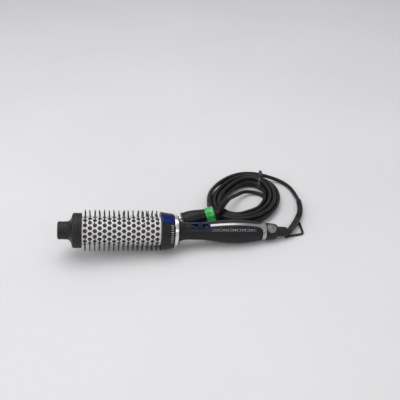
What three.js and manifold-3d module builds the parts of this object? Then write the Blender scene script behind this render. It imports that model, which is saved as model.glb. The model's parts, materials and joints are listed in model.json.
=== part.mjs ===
// Hot air brush: a perforated barrel with nylon pins, a heater, a slim handle with a fan, and a coiled cord.
// Millimetres, +Z up. The brush lies on its pins and on the belly of its handle, and the coil lies behind it.
// The brush is drawn about its own axis, along local X, with the middle of the barrel at 0 and the tip at -X.
// Angles round that axis are in degrees: 0 is the horizontal front (-Y) and 90 is the top.

import * as THREE from 'three';
import { mergeVertices } from 'three/addons/utils/BufferGeometryUtils.js';
import Module from 'manifold-3d';

const wasm = await Module();
wasm.setup();

// ---------------------------------------------------------------- driving dimensions
const GAP = 0.3;
const TILT = THREE.MathUtils.degToRad(5.57);
const AXIS_HEIGHT = 34.6;
const SIDES = 24;
const SMALL_SIDES = 16;

// the solids that follow have their stations along the axis as start and end, and radii as outer and inner
const BARREL = { start: -55.4, end: 56.1, outer: 21, inner: 20.2 };
const HOLES = { columns: 16, around: 16, pitch: 6.78, radius: 3.1, angle: 33 };
const PIN = { root: 0.9, tip: 29.8 };
const STRIP = { count: 8, inner: 16.9, outer: 19.7, end: 52.8 };
const TIP = { start: -89.5, neck: -75.2, nose: 12.9, collar: 25.1, stem: 5 };
const COLLAR = { start: 56.4, end: 75.5, front: 27.4, back: 24.9, lip: 27.9, bore: 18.6 };
const BUTTON = { angle: 80, start: 57.9, end: 75.1, width: 16, proud: 0.9, floor: 20.1, under: 22.2 };
const RING = { start: 75.9, end: 81, outer: 23.9, bore: 18.2 };
const SOCKET = { start: 62.4, outer: 17.8, inner: 16.5, end: 102 };
const HEATER = { start: -46, end: 60, board: 13, thick: 0.8, coil: 13.9, shield: 16.2 };
const HANDLE = { start: 81.3, end: 207.7, wall: 2.2 };
const CONTROL_ANGLE = 73;
const SWITCH = { middle: 113.9, length: 27.6, width: 9.2, floor: 11.4, top: 13.9 };
const TRIM = { start: 128.6, width: 5.6, thick: 1, proud: 0.15 };
const BAND = { start: 208, end: 213.6 };
const CAP = { start: 213.9, end: 232.9, hole: 5.6 };
const BADGE = { angle: 60, middle: 221.8, radius: 7.2 };
const MOTOR = { start: 151, end: 171, radius: 11, shaft: 1.2 };
const FAN = { start: 176, end: 184, radius: 13.2, hub: 4, blades: 7 };
const SCREWS = { stations: [124.5, 194], boss: 2.8, thread: 1.5, head: 2.4, shank: 1.1 };
const SLEEVE = { start: 226.6, end: 248.3, outer: 7.6, bore: 3.1 };
const CORD = { radius: 3.1 };
const GUARD = { radius: 4.7, plugRadius: 4.4 };
const COIL = { x: 199, y: 100, radius: 46, stretch: 1.267, turn: 60, width: 28, height: 20 };
const TIE = { angle: -4, width: 4, thick: 1.3, reach: 2.5 };
const PLUG = { x: 93, y: 39.5, z: 14.6, pitch: 7.5, yaw: 6.5, length: 52, pin: 2.4, pinLength: 19 };

const BLACK = 0x2b2a2d;
const SATIN = 0x343337;
const CHROME = 0xd8dade;
const BLUE = 0x1f3f8a;
const WHITE = 0xf1f0ec;
const MICA = 0xb9ab8c;
const BRASS = 0xc9a85a;
const STEEL = 0xa9adb2;
const GREEN = 0x1fae45;

// outer radius of the handle at stations along the axis, from the front flange to the rear end
const HANDLE_OUTLINE = [
  [81.3, 21.9], [82.4, 21.9], [83.6, 17.4], [87.3, 14.3], [94.2, 12.9], [115, 12.8],
  [130, 14.2], [150, 16.6], [168, 17.7], [185, 16.7], [198, 14.9], [207.7, 13.5],
];

// ---------------------------------------------------------------- geometry helpers
const root = new THREE.Group();
const brush = new THREE.Group();
root.add(brush);

const radians = THREE.MathUtils.degToRad;

function onlyPositions(geometry) {
  const copy = geometry.clone();
  copy.deleteAttribute('normal');
  copy.deleteAttribute('uv');
  return mergeVertices(copy, 1e-4);
}

function signedVolume(geometry) {
  const position = geometry.getAttribute('position');
  const index = geometry.getIndex();
  const [a, b, c] = [new THREE.Vector3(), new THREE.Vector3(), new THREE.Vector3()];
  let volume = 0;
  for (let i = 0; i < index.count; i += 3) {
    a.fromBufferAttribute(position, index.getX(i));
    b.fromBufferAttribute(position, index.getX(i + 1));
    c.fromBufferAttribute(position, index.getX(i + 2));
    volume += a.dot(b.cross(c)) / 6;
  }
  return volume;
}

// gives a closed surface with its faces pointing out
function facingOut(geometry) {
  const clean = onlyPositions(geometry);
  if (signedVolume(clean) < 0) {
    clean.setIndex(Array.from(clean.getIndex().array).reverse());
  }
  clean.computeVertexNormals();
  return clean;
}

function toSolid(geometry) {
  const clean = facingOut(geometry);
  return new wasm.Manifold(new wasm.Mesh({
    numProp: 3,
    vertProperties: new Float32Array(clean.getAttribute('position').array),
    triVerts: new Uint32Array(clean.getIndex().array),
  }));
}

function fromSolid(solid) {
  const mesh = solid.asOriginal().simplify(0.002).getMesh();
  const geometry = new THREE.BufferGeometry();
  geometry.setAttribute('position', new THREE.BufferAttribute(new Float32Array(mesh.vertProperties), 3));
  geometry.setIndex(Array.from(mesh.triVerts));
  geometry.computeVertexNormals();
  return geometry;
}

const cut = (body, ...tools) => fromSolid(tools.reduce((s, t) => s.subtract(toSolid(t)), toSolid(body)));
const join = (body, ...more) => fromSolid(more.reduce((s, t) => s.add(toSolid(t)), toSolid(body)));
const overlap = (body, tool) => fromSolid(toSolid(body).intersect(toSolid(tool)));

// a body of revolution about the X axis from [station, radius] points
function turned(points, sides = SIDES) {
  const first = points[0];
  const last = points[points.length - 1];
  const closed = first[1] === 0 && last[1] === 0 ? points : [...points, first];
  const geometry = new THREE.LatheGeometry(closed.map(([s, r]) => new THREE.Vector2(r, s)), sides);
  return facingOut(geometry.rotateZ(-Math.PI / 2));
}

// a plain tube about the X axis
function tube(start, end, outer, inner, sides = SIDES) {
  return turned([[start, outer], [end, outer], [end, inner], [start, inner]], sides);
}

function rod(start, end, radius, sides = SMALL_SIDES) {
  return turned([[start, 0], [start, radius], [end, radius], [end, 0]], sides);
}

// turns geometry drawn for the top of the brush to another angle round the axis
const turnTo = (geometry, angle) => geometry.rotateX(radians(90 - angle));

// a box in brush axes: along the axis, across, and from one distance off the axis to another, at an angle
function block(start, end, width, low, high, angle = 90) {
  const geometry = new THREE.BoxGeometry(end - start, width, high - low);
  geometry.translate((start + end) / 2, 0, (low + high) / 2);
  return turnTo(geometry, angle);
}

// a round post that stands radially at a station
function post(station, radius, low, high, angle, sides = SMALL_SIDES) {
  const geometry = new THREE.CylinderGeometry(radius, radius, high - low, sides);
  geometry.rotateX(Math.PI / 2).translate(station, 0, (low + high) / 2);
  return turnTo(geometry, angle);
}

// a plate with round ends, flat on the brush
function stadium(middle, length, width, low, high, angle) {
  const shape = new THREE.Shape();
  const reach = (length - width) / 2;
  shape.absarc(reach, 0, width / 2, -Math.PI / 2, Math.PI / 2, false);
  shape.absarc(-reach, 0, width / 2, Math.PI / 2, Math.PI * 1.5, false);
  const settings = { depth: high - low, bevelEnabled: false, curveSegments: 4 };
  const geometry = new THREE.ExtrudeGeometry(shape, settings);
  geometry.translate(middle, 0, low);
  return turnTo(geometry, angle);
}

function radiusAt(outline, station) {
  for (let i = 1; i < outline.length; i += 1) {
    const [s0, r0] = outline[i - 1];
    const [s1, r1] = outline[i];
    if (station <= s1) {
      return r0 + (r1 - r0) * (station - s0) / (s1 - s0);
    }
  }
  return outline[outline.length - 1][1];
}

// a layer that follows the handle's outline, from one depth under the surface to another
function handleLayer(start, end, deep, shallow) {
  const inside = HANDLE_OUTLINE.filter(([s]) => s > start && s < end).map(([s]) => s);
  const stations = [start, ...inside, end];
  const outer = stations.map((s) => [s, radiusAt(HANDLE_OUTLINE, s) + shallow]);
  const inner = stations.map((s) => [s, radiusAt(HANDLE_OUTLINE, s) + deep]).reverse();
  return turned([...outer, ...inner]);
}

function add(parent, name, geometry, color, roughness = 0.5, metalness = 0) {
  const material = new THREE.MeshStandardMaterial({ color, roughness, metalness });
  const mesh = new THREE.Mesh(facingOut(geometry), material);
  mesh.name = name;
  parent.add(mesh);
  return mesh;
}

// a round bar along a smooth curve through points
function bar(points, radius, sides, steps) {
  const section = new THREE.Shape();
  for (let i = 0; i < sides; i += 1) {
    const angle = 2 * Math.PI * i / sides;
    const [x, y] = [radius * Math.cos(angle), radius * Math.sin(angle)];
    if (i === 0) {
      section.moveTo(x, y);
    } else {
      section.lineTo(x, y);
    }
  }
  section.closePath();
  const path = new THREE.CatmullRomCurve3(points.map((p) => new THREE.Vector3(...p)), false, 'centripetal');
  const settings = { extrudePath: path, steps, curveSegments: 1, bevelEnabled: false };
  return new THREE.ExtrudeGeometry(section, settings);
}

// ---------------------------------------------------------------- perforated barrel
// four corners of the hole in a column, at a place round the tube, as [station, angle in radians]
function holeCorners(column, place) {
  const middle = (column - (HOLES.columns - 1) / 2) * HOLES.pitch;
  const step = 2 * Math.PI / HOLES.around;
  const angle = radians(HOLES.angle) + (place + (column % 2) / 2) * step;
  const rise = HOLES.radius / BARREL.outer;
  return [
    [middle, angle - rise], [middle + HOLES.radius, angle],
    [middle, angle + rise], [middle - HOLES.radius, angle],
  ];
}

// a thin tube with staggered rows of holes, meshed hole by hole
function perforatedTube() {
  const spots = [];
  const faces = [];
  const turn = 2 * Math.PI;
  const point = (station, angle) => spots.push([station, angle]) - 1;
  const hole = (column, place) => holeCorners(column, place).map(([s, a]) => point(s, a));
  const corners = Array.from({ length: HOLES.columns }, (_, column) => (
    Array.from({ length: HOLES.around }, (__, place) => hole(column, place))
  ));
  const rim = (station) => Array.from({ length: SIDES }, (_, i) => point(station, turn * i / SIDES));
  const rims = [rim(BARREL.start), rim(BARREL.end)];
  const sortedByAngle = (line) => line
    .map((i) => [((spots[i][1] % turn) + turn) % turn, i])
    .sort((a, b) => a[0] - b[0]);

  // fills the band between two rings of points, taking whichever point comes next round the tube
  function fill(left, right) {
    const [a, b] = [sortedByAngle(left), sortedByAngle(right)];
    const angleOf = (ring, i) => ring[i % ring.length][0] + turn * Math.floor(i / ring.length);
    let [i, j] = [0, 0];
    while (i < a.length || j < b.length) {
      const nextLeft = j >= b.length || (i < a.length && angleOf(a, i + 1) <= angleOf(b, j + 1));
      const [p, q] = [a[i % a.length][1], b[j % b.length][1]];
      if (nextLeft) {
        i += 1;
        faces.push([p, q, a[i % a.length][1]]);
      } else {
        j += 1;
        faces.push([p, q, b[j % b.length][1]]);
      }
    }
  }

  const rightSide = (column) => corners[column].flatMap((c) => [c[0], c[1], c[2]]);
  const leftSide = (column) => corners[column].flatMap((c) => [c[0], c[3], c[2]]);
  fill(rims[0], leftSide(0));
  for (let column = 1; column < HOLES.columns; column += 1) {
    fill(rightSide(column - 1), leftSide(column));
  }
  fill(rightSide(HOLES.columns - 1), rims[1]);

  const count = spots.length;
  const positions = [BARREL.outer, BARREL.inner].flatMap((radius) => spots.flatMap(([s, a]) => [
    s, -radius * Math.cos(a), radius * Math.sin(a),
  ]));
  const outward = faces.map(([a, b, c]) => {
    const cross = (spots[b][0] - spots[a][0]) * wrapped(spots[c][1] - spots[a][1])
      - (spots[c][0] - spots[a][0]) * wrapped(spots[b][1] - spots[a][1]);
    return cross > 0 ? [a, b, c] : [a, c, b];
  });
  const index = outward.flatMap(([a, b, c]) => [a, b, c, a + count, c + count, b + count]);
  const edges = new Set(outward.flatMap(([a, b, c]) => [`${a},${b}`, `${b},${c}`, `${c},${a}`]));
  for (const edge of edges) {
    const [a, b] = edge.split(',').map(Number);
    if (!edges.has(`${b},${a}`)) {
      index.push(b, a, a + count, b, a + count, b + count);
    }
  }
  const geometry = new THREE.BufferGeometry();
  geometry.setAttribute('position', new THREE.Float32BufferAttribute(positions, 3));
  geometry.setIndex(index);
  return facingOut(geometry);
}

function wrapped(angle) {
  return Math.atan2(Math.sin(angle), Math.cos(angle));
}

// ---------------------------------------------------------------- brush head
// one comb strip: a curved plate inside the barrel with the pins of four rows of holes
function bristleStrip(number) {
  const step = 360 / HOLES.around;
  const middle = HOLES.angle + (number * 2 + 0.75) * step;
  const reach = 360 / STRIP.count / 2 - 1.2;
  const section = new THREE.Shape();
  section.absarc(0, 0, STRIP.outer, radians(middle - reach), radians(middle + reach), false);
  section.absarc(0, 0, STRIP.inner, radians(middle + reach), radians(middle - reach), true);
  const settings = { depth: 2 * STRIP.end, bevelEnabled: false, curveSegments: 2 };
  const plate = new THREE.ExtrudeGeometry(section, settings);
  // the section's own X and Y become the front and the top of the brush
  plate.applyMatrix4(new THREE.Matrix4().set(0, 0, 1, -STRIP.end, -1, 0, 0, 0, 0, 1, 0, 0, 0, 0, 0, 1));
  let solid = toSolid(plate);
  for (let column = 0; column < HOLES.columns; column += 1) {
    for (let row = 0; row < HOLES.around / STRIP.count; row += 1) {
      const angle = HOLES.angle + (number * 2 + row + (column % 2) / 2) * step;
      const station = (column - (HOLES.columns - 1) / 2) * HOLES.pitch;
      const pin = new THREE.ConeGeometry(PIN.root, PIN.tip - STRIP.outer + 1, 3);
      pin.rotateX(Math.PI / 2).translate(station, 0, (PIN.tip + STRIP.outer - 1) / 2);
      solid = solid.add(toSolid(turnTo(pin, angle)));
    }
  }
  return fromSolid(solid);
}

function collarOutline() {
  return [
    [COLLAR.start, COLLAR.lip], [COLLAR.start + 1.8, COLLAR.lip], [COLLAR.start + 2.4, COLLAR.front],
    [COLLAR.end, COLLAR.back],
  ];
}

function buildHead() {
  add(brush, 'barrel', perforatedTube(), WHITE, 0.35);
  for (let i = 0; i < STRIP.count; i += 1) {
    add(brush, `bristle_strip_${i + 1}`, bristleStrip(i), SATIN, 0.5);
  }
  add(brush, 'tip_knob', turned([
    [TIP.start, 0], [TIP.start, TIP.nose - 2.4], [TIP.start + 0.7, TIP.nose - 0.7],
    [TIP.start + 2.4, TIP.nose],
    [TIP.neck, TIP.nose], [TIP.neck, TIP.stem], [-62, TIP.stem], [-62, 0],
  ]), BLACK, 0.6);
  add(brush, 'tip_collar', turned([
    [TIP.neck + GAP, 13.3], [-71.8, 15.4], [-69.6, 19.6], [-68.8, 22.8], [-67.8, 24.4], [-66, TIP.collar],
    [BARREL.start - GAP, TIP.collar], [BARREL.start - GAP, 19.8], [-53.2, 19.8], [-53.2, 18.3], [-58, 18.3],
    [-66, 15], [-70, TIP.stem + GAP], [TIP.neck + GAP, TIP.stem + GAP],
  ]), BLACK, 0.6);
  add(brush, 'tip_screw', rod(-61.7, -59.5, 4), STEEL, 0.4, 0.9);

  const collar = turned([
    ...collarOutline(), [COLLAR.end, COLLAR.bore], [62, COLLAR.bore], [62, 17.2], [53.2, 17.2],
    [53.2, 19.8], [COLLAR.start, 19.8],
  ]);
  const beyond = COLLAR.lip + 4;
  const pocketWidth = BUTTON.width + 2 * GAP;
  const pocket = block(BUTTON.start - GAP, COLLAR.end + 1, pocketWidth, BUTTON.floor, beyond, BUTTON.angle);
  add(brush, 'head_collar', cut(collar, pocket), BLACK, 0.45);

  const skin = turned([
    [COLLAR.start, COLLAR.front + 1], [COLLAR.end, COLLAR.back + BUTTON.proud],
    [COLLAR.end, BUTTON.floor], [COLLAR.start, BUTTON.floor],
  ], 48);
  const press = block(BUTTON.start, BUTTON.end, BUTTON.width, BUTTON.under, beyond, BUTTON.angle);
  add(brush, 'release_button', overlap(skin, press), BLUE, 0.15, 0.6);
  const leaf = block(60, 73, 4, BUTTON.floor + 0.2, BUTTON.floor + 0.5, BUTTON.angle);
  add(brush, 'button_spring', leaf, STEEL, 0.4, 0.9);
}

// ---------------------------------------------------------------- heater
function buildHeater() {
  const half = (HEATER.start + HEATER.end) / 2;
  const wide = 2 * HEATER.board;
  const slotGap = HEATER.thick + 2 * GAP;
  const plate = (angle) => (
    block(HEATER.start, HEATER.end, wide, -HEATER.thick / 2, HEATER.thick / 2, angle)
  );
  const slot = (angle, start, end) => block(start, end, slotGap, -HEATER.board, HEATER.board, angle);
  const boardA = cut(plate(90), slot(90, half - GAP, HEATER.end + 1));
  const boardB = cut(plate(0), slot(0, HEATER.start - 1, half + GAP));
  add(brush, 'mica_board_level', boardA, MICA, 0.7);
  add(brush, 'mica_board_upright', boardB, MICA, 0.7);

  const turns = 7;
  const [first, last] = [-38, 36];
  const points = Array.from({ length: turns * 8 + 1 }, (_, i) => [
    first + (last - first) * i / (turns * 8),
    HEATER.coil * Math.cos(Math.PI * i / 4),
    HEATER.coil * Math.sin(Math.PI * i / 4),
  ]);
  add(brush, 'heating_coil', bar(points, 0.5, 4, turns * 8), STEEL, 0.35, 0.9);
  const shield = tube(HEATER.start, 70, HEATER.shield, HEATER.shield - 0.6, SMALL_SIDES);
  add(brush, 'heater_shield', shield, MICA, 0.7);
  add(brush, 'thermostat', block(44, 53, 7, 0.8, 5, 90).translate(0, 5.4, 0), STEEL, 0.4, 0.8);
  add(brush, 'thermal_fuse', rod(42, 54, 1.3, 8).translate(0, 6, -2.1), WHITE, 0.5);
}

// ---------------------------------------------------------------- handle
function buildHandle() {
  add(brush, 'chrome_ring', turned([
    [RING.start, RING.bore], [RING.start, 23.3], [RING.start + 0.8, RING.outer], [RING.end - 0.8, RING.outer],
    [RING.end, 23.2], [RING.end, RING.bore],
  ]), CHROME, 0.12, 1);
  add(brush, 'socket_duct', turned([
    [SOCKET.start, SOCKET.outer], [80.9, 17.4], [83.4, 15.2], [87.3, 12], [94.2, 10.4], [SOCKET.end, 10.4],
    [SOCKET.end, 9.4], [94, 9.4], [87, 11], [83, 14], [80.5, 16.3], [SOCKET.start, SOCKET.inner],
  ], SMALL_SIDES), BLACK, 0.6);

  const shell = handleLayer(HANDLE.start, HANDLE.end, -HANDLE.wall, 0);
  const far = 40;
  const upperHalf = block(HANDLE.start - 1, HANDLE.end + 1, far, GAP / 2, far, CONTROL_ANGLE);
  const lowerHalf = block(HANDLE.start - 1, HANDLE.end + 1, far, -far, -GAP / 2, CONTROL_ANGLE);
  const grown = handleLayer(TRIM.start - GAP, HANDLE.end + 1, -TRIM.thick - GAP, 2);
  const groove = overlap(grown, block(100, 220, TRIM.width + 2 * GAP, 2, far, CONTROL_ANGLE));
  const recess = stadium(SWITCH.middle, SWITCH.length + 2 * GAP, SWITCH.width + 2 * GAP, SWITCH.floor, 20,
    CONTROL_ANGLE);
  const slot = block(SWITCH.middle - 8.5, SWITCH.middle + 8.5, 3.6, 8, 20, CONTROL_ANGLE);
  const bosses = SCREWS.stations.map((s) => (
    post(s, SCREWS.boss, -8.5, radiusAt(HANDLE_OUTLINE, s) - 1.5, CONTROL_ANGLE, 10)
  ));
  const threads = SCREWS.stations.map((s) => post(s, SCREWS.thread, -9, 0, CONTROL_ANGLE, 8));
  const upper = cut(join(overlap(shell, upperHalf), ...bosses), groove, recess, slot, ...threads);
  add(brush, 'handle_upper_shell', upper, BLACK, 0.35);

  const heads = SCREWS.stations.map((s) => {
    const surface = radiusAt(HANDLE_OUTLINE, s);
    return post(s, SCREWS.boss, -surface - 2, -surface + 1.3, CONTROL_ANGLE, 12);
  });
  const shanks = SCREWS.stations.map((s) => post(s, SCREWS.thread, -20, -5, CONTROL_ANGLE, 8));
  add(brush, 'handle_lower_shell', cut(overlap(shell, lowerHalf), ...heads, ...shanks), BLACK, 0.35);
  SCREWS.stations.forEach((s, i) => {
    const surface = radiusAt(HANDLE_OUTLINE, s);
    const head = post(s, SCREWS.head, -surface + 0.1, -surface + 1, CONTROL_ANGLE, 12);
    const shank = post(s, SCREWS.shank, -surface + 0.5, -4, CONTROL_ANGLE, 8);
    add(brush, `shell_screw_${i + 1}`, join(head, shank), STEEL, 0.4, 0.9);
  });

  const strip = handleLayer(TRIM.start, HANDLE.end, -TRIM.thick, TRIM.proud);
  const line = block(100, 220, TRIM.width, 2, far, CONTROL_ANGLE);
  add(brush, 'trim_strip', overlap(strip, line), CHROME, 0.15, 1);
  add(brush, 'rear_band', turned([
    [BAND.start, 13.7], [BAND.end, 13.2], [BAND.end, 11.4], [BAND.start, 11.4],
  ]), CHROME, 0.15, 1);
}

function buildSwitch() {
  const floor = SWITCH.floor + GAP;
  const ring = stadium(SWITCH.middle, SWITCH.length, SWITCH.width, floor, SWITCH.top, CONTROL_ANGLE);
  const window = stadium(SWITCH.middle, 21.4, 5.6, SWITCH.floor, 20, CONTROL_ANGLE);
  add(brush, 'switch_bezel', cut(ring, window), BLUE, 0.12, 0.9);
  const plate = (reach, width, low, high, middle = SWITCH.middle) => (
    block(middle - reach, middle + reach, width, low, high, CONTROL_ANGLE)
  );
  const ridges = [-2.7, -0.9, 0.9, 2.7].map((s) => plate(0.4, 4.4, 13.3, 14.4, SWITCH.middle + s));
  const slider = join(plate(3.6, 5, floor, 13.5), plate(2.4, 3, 9.8, 12), ...ridges);
  add(brush, 'switch_slider', slider, BLACK, 0.4);
  add(brush, 'switch_body', plate(7.2, 8, 5, 9.4), SATIN, 0.6);
}

function capOutline(grow) {
  return [
    [CAP.start, 13.1 + grow], [222, 12.5 + grow], [229, 11.4 + grow], [231.6, 10.4 + grow],
  ];
}

function buildRear() {
  const body = turned([
    ...capOutline(0), [CAP.end, 8.8], [CAP.end, CAP.hole], [231.2, CAP.hole], [231.2, 8.4], [228, 9.3],
    [CAP.start, 11],
  ]);
  const vents = [-70, -87, -104, -121, -138, -155].map((a) => block(217, 227, 1.8, 6, 16, a));
  const around = post(BADGE.middle, BADGE.radius + GAP, 2, 20, BADGE.angle, 24);
  const recessBand = turned([...capOutline(2), [231.6, 9.8], [229, 10.6], [222, 11.7], [CAP.start, 12.3]]);
  add(brush, 'rear_cap', cut(body, overlap(recessBand, around), ...vents), BLACK, 0.4);
  const disc = post(BADGE.middle, BADGE.radius, 2, 20, BADGE.angle, 24);
  const discBand = turned([...capOutline(0.35), [231.6, 10.1], [229, 10.9], [222, 12], [CAP.start, 12.6]]);
  add(brush, 'badge', overlap(discBand, disc), CHROME, 0.2, 0.9);
  add(brush, 'intake_filter', tube(203, 204, 11.2, 3, SMALL_SIDES), STEEL, 0.5, 0.6);
  add(brush, 'contact_holder', tube(217, 224, 8.4, 2.8, 12), SATIN, 0.6);
}

function buildMotor() {
  add(brush, 'motor_can', turned([
    [MOTOR.start, 0], [MOTOR.start, MOTOR.radius], [MOTOR.end, MOTOR.radius], [MOTOR.end, MOTOR.shaft + 0.5],
    [158, MOTOR.shaft + 0.5], [158, 0],
  ], SMALL_SIDES), STEEL, 0.4, 0.8);
  const fins = [0, 1, 2].map((i) => block(156, 168, 1.6, 11.8, 13.9, CONTROL_ANGLE + 60 + 120 * i));
  add(brush, 'motor_mount', join(tube(156, 168, 12.5, MOTOR.radius + GAP, 24), ...fins), SATIN, 0.6);
  add(brush, 'motor_shaft', rod(158.4, 186, MOTOR.shaft, 10), STEEL, 0.3, 0.9);
  const blades = Array.from({ length: FAN.blades }, (_, i) => {
    const blade = new THREE.BoxGeometry(8.6, 1.1, FAN.radius - FAN.hub + 1);
    blade.rotateZ(radians(35)).translate((FAN.start + FAN.end) / 2, 0, (FAN.radius + FAN.hub - 1) / 2);
    return turnTo(blade, 360 * i / FAN.blades);
  });
  const hub = tube(FAN.start, FAN.end, FAN.hub, MOTOR.shaft + GAP, SMALL_SIDES);
  add(brush, 'fan_impeller', join(hub, ...blades), SATIN, 0.5);
  add(brush, 'control_board', block(131, 149.5, 17, -1, 0.4, CONTROL_ANGLE), 0x1d5a36, 0.6);
}

// ---------------------------------------------------------------- cord side
// a point on the brush axis in bench axes, before the whole object is moved onto its origin
const onAxis = (station) => [station * Math.cos(TILT), 0, AXIS_HEIGHT - station * Math.sin(TILT)];

const ELBOW_ROUTE = [onAxis(248.7), onAxis(251), [257, 9.5, 9.3], [263.5, 18.5, 8.9], [270.8, 28, 8.4]];
const GUARD_ROUTE = [
  [271.1, 28.4, 8.4], [277, 37.5, 8.2], [282.3, 46.9, 7.8], [286.2, 57, 7.3], [288.8, 70, 6.5],
  [290.3, 87.4, 5.4],
];
const LEAD_ROUTE = [
  [290.4, 88, 5.3], [290.7, 98.3, 4.4], [290.3, 110, 3.6], [289.6, 122.4, 3.2], [287.9, 134, 3.2],
  [284.4, 144.4, 3.3], [280.3, 151.5, 3.9], [274.7, 156.4, 5.4], [268.5, 158, 7.3], [263, 158.2, 9],
  [257.5, 158.2, 10.8],
];

// a point on the plug's axis, measured from the middle of its face
const alongPlug = (distance) => [
  PLUG.x + distance * Math.cos(radians(PLUG.pitch)) * Math.cos(radians(PLUG.yaw)),
  PLUG.y + distance * Math.cos(radians(PLUG.pitch)) * Math.sin(radians(PLUG.yaw)),
  PLUG.z + distance * Math.sin(radians(PLUG.pitch)),
];

const PLUG_GUARD_ROUTE = [
  alongPlug(53), alongPlug(55.5), [150.6, 48.4, 23.6], [154, 52.8, 25], [158.8, 60, 25.5], [164, 68.5, 25.3],
  [169.6, 77, 24.4],
];
const TAIL_ROUTE = [
  [169.9, 77.5, 24.3], [174.7, 84.6, 21.8], [180.7, 94, 17.9], [187.5, 103.6, 14], [195.9, 113.2, 10.8],
  [205, 120.5, 8.8], [213, 124, 7.2], [219.5, 125.4, 6.4],
];

function buildCordEnd() {
  add(brush, 'swivel_sleeve', turned([
    [SLEEVE.start, 7.8], [230.7, 7.8], [230.7, 5.2], [233.3, 5.2], [233.3, SLEEVE.outer], [245.5, 7.2],
    [SLEEVE.end, 6.2], [SLEEVE.end, SLEEVE.bore], [SLEEVE.start, SLEEVE.bore],
  ], 24), BLACK, 0.5);
  add(brush, 'slip_contact', rod(216, 226.2, 2.4, 12), BRASS, 0.3, 0.9);
  add(root, 'swivel_elbow', bar(ELBOW_ROUTE, GUARD.radius, 10, 6), BLACK, 0.5);
  add(root, 'cord_guard', bar(GUARD_ROUTE, GUARD.radius, 10, 8), BLACK, 0.55);
  add(root, 'hanging_loop', hangingLoop(), BLACK, 0.5);
  add(root, 'cord_lead', bar(LEAD_ROUTE, CORD.radius, 10, 12), BLACK, 0.5);
}

// a flat triangle of round-cornered bar that lies on the bench, with a lug up to the sleeve
function hangingLoop() {
  const outer = [[243.5, -3], [275.5, 1.5], [278, 37]];
  const inner = [[248.8, 0.5], [272.9, 4.1], [274.7, 30.4]];
  const rounded = (path, corners, radius) => {
    corners.forEach((corner, i) => {
      const before = corners[(i + corners.length - 1) % corners.length];
      const after = corners[(i + 1) % corners.length];
      const towards = (from, to) => {
        const length = Math.hypot(to[0] - from[0], to[1] - from[1]);
        return [from[0] + (to[0] - from[0]) * radius / length, from[1] + (to[1] - from[1]) * radius / length];
      };
      const [start, end] = [towards(corner, before), towards(corner, after)];
      if (i === 0) {
        path.moveTo(...start);
      } else {
        path.lineTo(...start);
      }
      path.quadraticCurveTo(...corner, ...end);
    });
    path.closePath();
    return path;
  };
  const shape = rounded(new THREE.Shape(), outer, 5);
  shape.holes.push(rounded(new THREE.Path(), inner, 3));
  const ring = new THREE.ExtrudeGeometry(shape, { depth: 2, bevelEnabled: false, curveSegments: 3 });
  ring.translate(0, 0, 0.1);
  const lug = new THREE.BoxGeometry(6, 3.2, 4).translate(247, -1.2, 2.1);
  return fromSolid(toSolid(join(ring, lug)).subtract(toSolid(sleeveClearance())));
}

// the space that the tilted sleeve takes, with its clearance, in bench axes
function sleeveClearance() {
  const space = rod(SLEEVE.start, SLEEVE.end + 1, SLEEVE.outer + GAP, 24);
  space.rotateY(TILT);
  return space.translate(0, 0, AXIS_HEIGHT);
}

function tieLoop(grow) {
  const width = COIL.width * COIL.stretch + TIE.reach + 0.6 + 2 * grow;
  const height = COIL.height + 0.6 + grow;
  const shape = new THREE.Shape();
  const outline = (path, w, low, high, corner) => {
    path.moveTo(-w / 2 + corner, low);
    path.lineTo(w / 2 - corner, low);
    path.lineTo(w / 2, low + corner);
    path.lineTo(w / 2, high - corner);
    path.lineTo(w / 2 - corner, high);
    path.lineTo(-w / 2 + corner, high);
    path.lineTo(-w / 2, high - corner);
    path.lineTo(-w / 2, low + corner);
    path.closePath();
    return path;
  };
  const inset = TIE.thick + 2 * grow;
  outline(shape, width, 0.4 - grow, height, 5);
  shape.holes.push(outline(new THREE.Path(), width - 2 * inset, 0.4 - grow + inset, height - inset, 5));
  const depth = TIE.width + 2 * grow;
  const band = new THREE.ExtrudeGeometry(shape, { depth, bevelEnabled: false }).translate(0, 0, -depth / 2);
  band.rotateX(Math.PI / 2).translate(TIE.reach / 2, 0, 0);
  if (grow > 0) {
    return band;
  }
  const head = new THREE.BoxGeometry(5, 5.6, 5).translate(14, 0, height + 2.3);
  const tail = new THREE.BoxGeometry(1.4, 3.6, 6).rotateY(0.3).translate(15.1, 0, height + 6.4);
  return join(band, head, tail);
}

// turns the coil's long axis to its direction on the bench and moves it there
function placeCoil(geometry) {
  return geometry.rotateZ(radians(COIL.turn)).translate(COIL.x, COIL.y, 0);
}

// moves the tie from the coil's own origin to its place on the ring
function placeTie(geometry) {
  const angle = radians(TIE.angle);
  const [a, b] = [COIL.radius * COIL.stretch, COIL.radius];
  const normal = Math.atan2(Math.sin(angle) / b, Math.cos(angle) / a);
  geometry.rotateZ(normal).translate(a * Math.cos(angle), b * Math.sin(angle), 0);
  return placeCoil(geometry);
}

function buildCoil() {
  const [inner, outer] = [COIL.radius - COIL.width / 2, COIL.radius + COIL.width / 2];
  const bevel = 6;
  const profile = [
    [inner + bevel, 0], [outer - bevel, 0], [outer, bevel], [outer, COIL.height - bevel],
    [outer - bevel, COIL.height], [inner + bevel, COIL.height], [inner, COIL.height - bevel], [inner, bevel],
    [inner + bevel, 0],
  ];
  const ring = new THREE.LatheGeometry(profile.map(([r, z]) => new THREE.Vector2(r, z)), SIDES);
  ring.rotateX(Math.PI / 2).scale(COIL.stretch, 1, 1).translate(0, 0, 0.1);
  add(root, 'cord_coil', cut(placeCoil(ring), placeTie(tieLoop(GAP))), BLACK, 0.5);
  add(root, 'cable_tie', placeTie(tieLoop(0)), SATIN, 0.5);
}

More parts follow.
